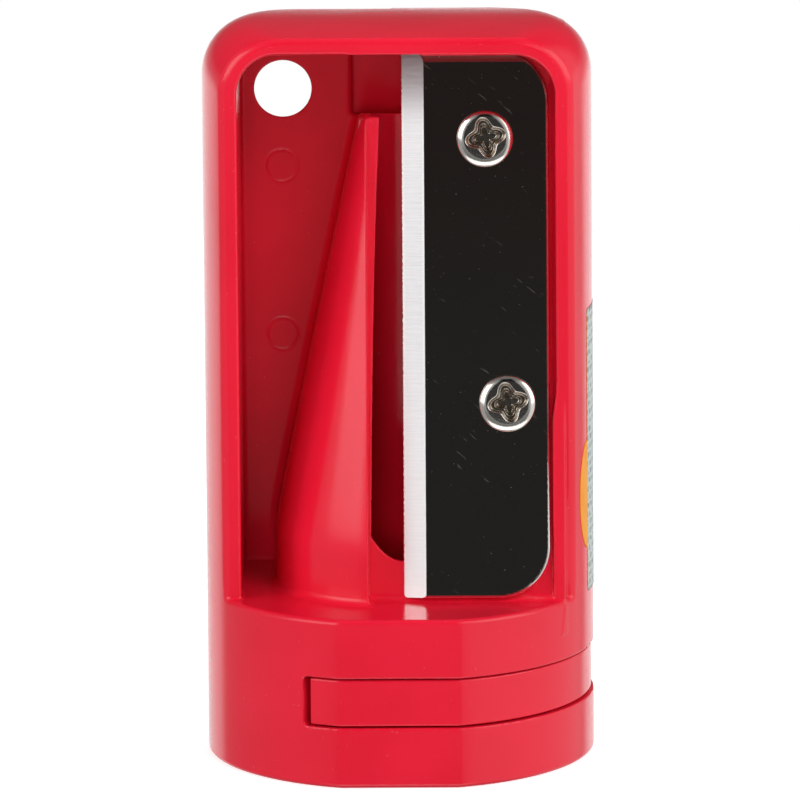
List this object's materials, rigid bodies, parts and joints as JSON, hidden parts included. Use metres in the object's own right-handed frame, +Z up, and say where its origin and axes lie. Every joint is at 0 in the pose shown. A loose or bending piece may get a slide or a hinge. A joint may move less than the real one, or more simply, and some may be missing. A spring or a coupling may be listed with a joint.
{
  "type": "carpenter's pencil sharpener",
  "caption": "Hand sharpener for flat carpenter's pencils: an open red housing with a conical guide, a screwed-on blade and a turning collar that takes the pencil.",
  "frame": {"origin": "on the ground under the pencil's axis, at the centre of the round base's lower face", "axes": "+Z up the pencil's axis towards the cone's tip, -Y out of the open front, +Y out of the flat back, +X to the blade's side"},
  "size_m": [0.0382, 0.0362, 0.073],
  "materials": {
    "red_plastic": "glossy moulded red plastic",
    "blade_steel": "polished flat faces with a fine ground cutting bevel",
    "plated_steel": "bright nickel plate",
    "label_paper": null
  },
  "bodies": {
    "housing": {"body": "red_plastic", "blade": "blade_steel", "upper_blade_screw": "plated_steel", "lower_blade_screw": "plated_steel", "retaining_clip": "red_plastic", "side_label": "label_paper"},
    "collar": {"pencil_collar": "red_plastic"}
  },
  "joints": [
    {"name": "collar_spin", "type": "hinge", "parent": "housing", "child": "collar", "pos_m": [0, 0, 0], "axis": [0, 0, 1], "continuous": true}
  ]
}
